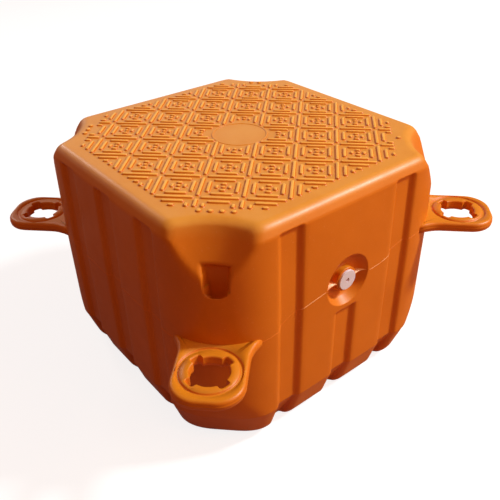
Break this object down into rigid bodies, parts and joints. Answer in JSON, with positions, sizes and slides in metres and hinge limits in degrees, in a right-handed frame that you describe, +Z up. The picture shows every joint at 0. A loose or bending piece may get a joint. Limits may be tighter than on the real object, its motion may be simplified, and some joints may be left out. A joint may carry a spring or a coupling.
{
  "type": "floating dock cube",
  "caption": "Hollow moulded float for a modular dock, with link lugs at its corners, a tread deck, grooved sides and a plugged vent.",
  "frame": {"origin": "centre of the base, on the surface that the cube stands on", "axes": "+Z up through the deck; -Y points out of the side with the vent; the lowest lug is at -X -Y, and the lugs step up from there to -X +Y, +X +Y and +X -Y"},
  "size_m": [0.6134, 0.6134, 0.3895],
  "materials": {
    "float_plastic": "satin moulded polyethylene",
    "plug_plastic": "smooth moulded plastic"
  },
  "bodies": {
    "root": {"float_body": "float_plastic", "vent_plug": "plug_plastic"}
  },
  "joints": []
}
